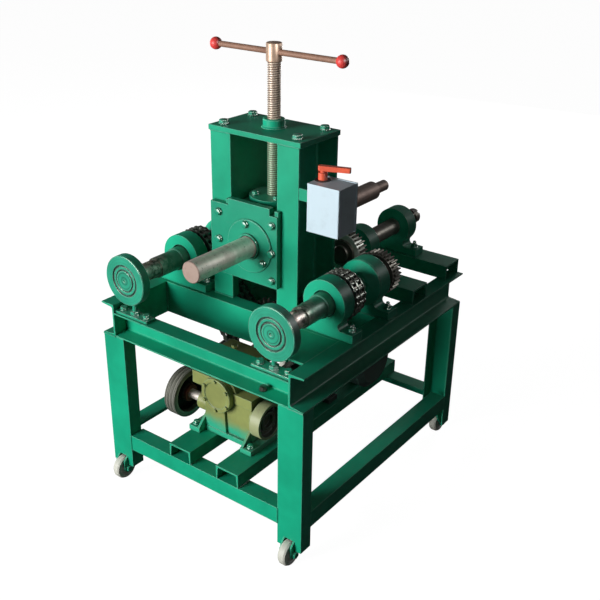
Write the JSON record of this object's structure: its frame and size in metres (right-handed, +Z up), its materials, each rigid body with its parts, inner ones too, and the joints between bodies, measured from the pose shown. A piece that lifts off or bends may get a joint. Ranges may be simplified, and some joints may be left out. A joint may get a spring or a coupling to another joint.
{
  "type": "ring roller",
  "caption": "Floor-standing motorised ring roller: two driven lower rollers, a screw-down upper shaft in a tower, chain drive and gearbox on a wheeled stand.",
  "frame": {"origin": "centre of the bounding box's underside, on the floor", "axes": "+Z up, +Y from the roller discs towards the back, +X to the right seen from the front"},
  "size_m": [0.72, 0.9674, 1.308],
  "materials": {
    "green_paint": "satin",
    "bare_steel": "satin",
    "dark_steel": "satin",
    "chain_steel": "satin",
    "bronze_steel": "satin",
    "gearbox_paint": "satin",
    "motor_paint": "satin",
    "pulley_iron": "satin",
    "belt_rubber": "matte",
    "wheel_plastic": "satin",
    "switch_plastic": "satin",
    "red_plastic": "gloss",
    "orange_plastic": "gloss"
  },
  "bodies": {
    "stand": {"base_channels": "green_paint", "bed_plate": "green_paint", "bottom_rail_front": "green_paint", "bottom_rail_left": "green_paint", "bottom_rail_rear": "green_paint", "bottom_rail_right": "green_paint", "caster_forks": "green_paint", "cross_beams": "green_paint", "die_shaft_pedestals": "green_paint", "drive_beams": "green_paint", "drive_chain": "chain_steel", "frame_bolts": "green_paint", "front_rail": "green_paint", "gearbox_covers": "gearbox_paint", "gearbox_housing": "gearbox_paint", "idler_bracket": "green_paint", "left_roller_pedestals": "green_paint", "leg_front_left": "green_paint", "leg_front_right": "green_paint", "leg_rear_left": "green_paint", "leg_rear_right": "green_paint", "motor": "motor_paint", "right_roller_pedestals": "green_paint", "roll_pads": "green_paint", "screw_nut": "green_paint", "side_channel_left": "green_paint", "side_channel_right": "green_paint", "switch_box": "switch_plastic", "switch_bracket": "green_paint", "top_plate": "green_paint", "tower_columns": "green_paint", "v_belts": "belt_rubber"},
    "press_block": {"block_body": "green_paint", "block_bearings": "bare_steel", "guide_plates": "green_paint", "block_covers": "green_paint", "block_bolts": "green_paint", "screw_collar": "green_paint"},
    "upper_shaft": {"upper_shaft": "bare_steel"},
    "press_screw": {"press_screw": "bronze_steel"},
    "tommy_bar": {"tommy_bar": "bronze_steel", "tommy_balls": "red_plastic"},
    "right_roller": {"right_roller_disc": "green_paint", "right_roller_shaft": "bare_steel", "right_chain_sprocket": "dark_steel", "right_drive_gear": "dark_steel"},
    "left_roller": {"left_roller_disc": "green_paint", "left_roller_shaft": "bare_steel", "left_chain_sprocket": "dark_steel"},
    "die_shaft": {"die_shaft": "dark_steel", "die_shaft_gear": "dark_steel"},
    "idler": {"idler_sprocket": "dark_steel"},
    "gearbox_output": {"gearbox_output": "dark_steel"},
    "gearbox_pulley": {"gearbox_pulley": "pulley_iron"},
    "motor_pulley": {"motor_pulley": "pulley_iron"},
    "switch_handle": {"switch_handle": "orange_plastic"},
    "caster_wheel_front_left": {"caster_wheel_front_left": "wheel_plastic"},
    "caster_wheel_front_right": {"caster_wheel_front_right": "wheel_plastic"},
    "caster_wheel_rear_left": {"caster_wheel_rear_left": "wheel_plastic"},
    "caster_wheel_rear_right": {"caster_wheel_rear_right": "wheel_plastic"}
  },
  "joints": [
    {"name": "block_slide", "type": "slide", "parent": "stand", "child": "press_block", "axis": [0, 0, 1], "range_m": [-0.045, 0.12]},
    {"name": "screw_turn", "type": "hinge", "parent": "press_block", "child": "press_screw", "pos_m": [0, -0.10875, 1.1], "axis": [0, 0, 1], "range_deg": [-2701, 7201]},
    {"name": "bar_slide", "type": "slide", "parent": "press_screw", "child": "tommy_bar", "axis": [1, 0, 0], "range_m": [-0.14, 0.14]},
    {"name": "upper_shaft_turn", "type": "hinge", "parent": "press_block", "child": "upper_shaft", "pos_m": [0, -0.10875, 0.777], "axis": [0, 1, 0], "continuous": true},
    {"name": "right_roller_turn", "type": "hinge", "parent": "stand", "child": "right_roller", "pos_m": [0.257, -0.19925, 0.68], "axis": [0, 1, 0], "continuous": true},
    {"name": "left_roller_turn", "type": "hinge", "parent": "stand", "child": "left_roller", "pos_m": [-0.257, -0.19925, 0.68], "axis": [0, 1, 0], "continuous": true},
    {"name": "die_shaft_turn", "type": "hinge", "parent": "stand", "child": "die_shaft", "pos_m": [0.14177, 0.12075, 0.71457], "axis": [0, 1, 0], "continuous": true},
    {"name": "idler_turn", "type": "hinge", "parent": "stand", "child": "idler", "pos_m": [0.005, -0.14625, 0.54737], "axis": [0, 1, 0], "continuous": true},
    {"name": "gearbox_output_turn", "type": "hinge", "parent": "stand", "child": "gearbox_output", "pos_m": [-0.028, -0.25625, 0.347], "axis": [0, 1, 0], "continuous": true},
    {"name": "gearbox_pulley_turn", "type": "hinge", "parent": "stand", "child": "gearbox_pulley", "pos_m": [-0.11, -0.29125, 0.281], "axis": [1, 0, 0], "continuous": true},
    {"name": "motor_pulley_turn", "type": "hinge", "parent": "stand", "child": "motor_pulley", "pos_m": [-0.09, 0.11375, 0.35], "axis": [1, 0, 0], "continuous": true},
    {"name": "switch_turn", "type": "hinge", "parent": "stand", "child": "switch_handle", "pos_m": [0.221, -0.19025, 1], "axis": [0, 0, 1], "range_deg": [-45, 45]},
    {"name": "caster_front_left_turn", "type": "hinge", "parent": "stand", "child": "caster_wheel_front_left", "pos_m": [-0.32, -0.44625, 0.0375], "axis": [1, 0, 0], "continuous": true},
    {"name": "caster_front_right_turn", "type": "hinge", "parent": "stand", "child": "caster_wheel_front_right", "pos_m": [0.32, -0.44625, 0.0375], "axis": [1, 0, 0], "continuous": true},
    {"name": "caster_rear_left_turn", "type": "hinge", "parent": "stand", "child": "caster_wheel_rear_left", "pos_m": [-0.32, 0.38375, 0.0375], "axis": [1, 0, 0], "continuous": true},
    {"name": "caster_rear_right_turn", "type": "hinge", "parent": "stand", "child": "caster_wheel_rear_right", "pos_m": [0.32, 0.38375, 0.0375], "axis": [1, 0, 0], "continuous": true}
  ],
  "couplings": [
    {"joint": "screw_turn", "follows": "block_slide", "rad_per_m": 1047.2},
    {"joint": "left_roller_turn", "follows": "right_roller_turn", "ratio": 1},
    {"joint": "die_shaft_turn", "follows": "right_roller_turn", "ratio": -1},
    {"joint": "idler_turn", "follows": "right_roller_turn", "ratio": -1.5385},
    {"joint": "gearbox_output_turn", "follows": "right_roller_turn", "ratio": 1.3333},
    {"joint": "motor_pulley_turn", "follows": "gearbox_pulley_turn", "ratio": 1.9459}
  ]
}
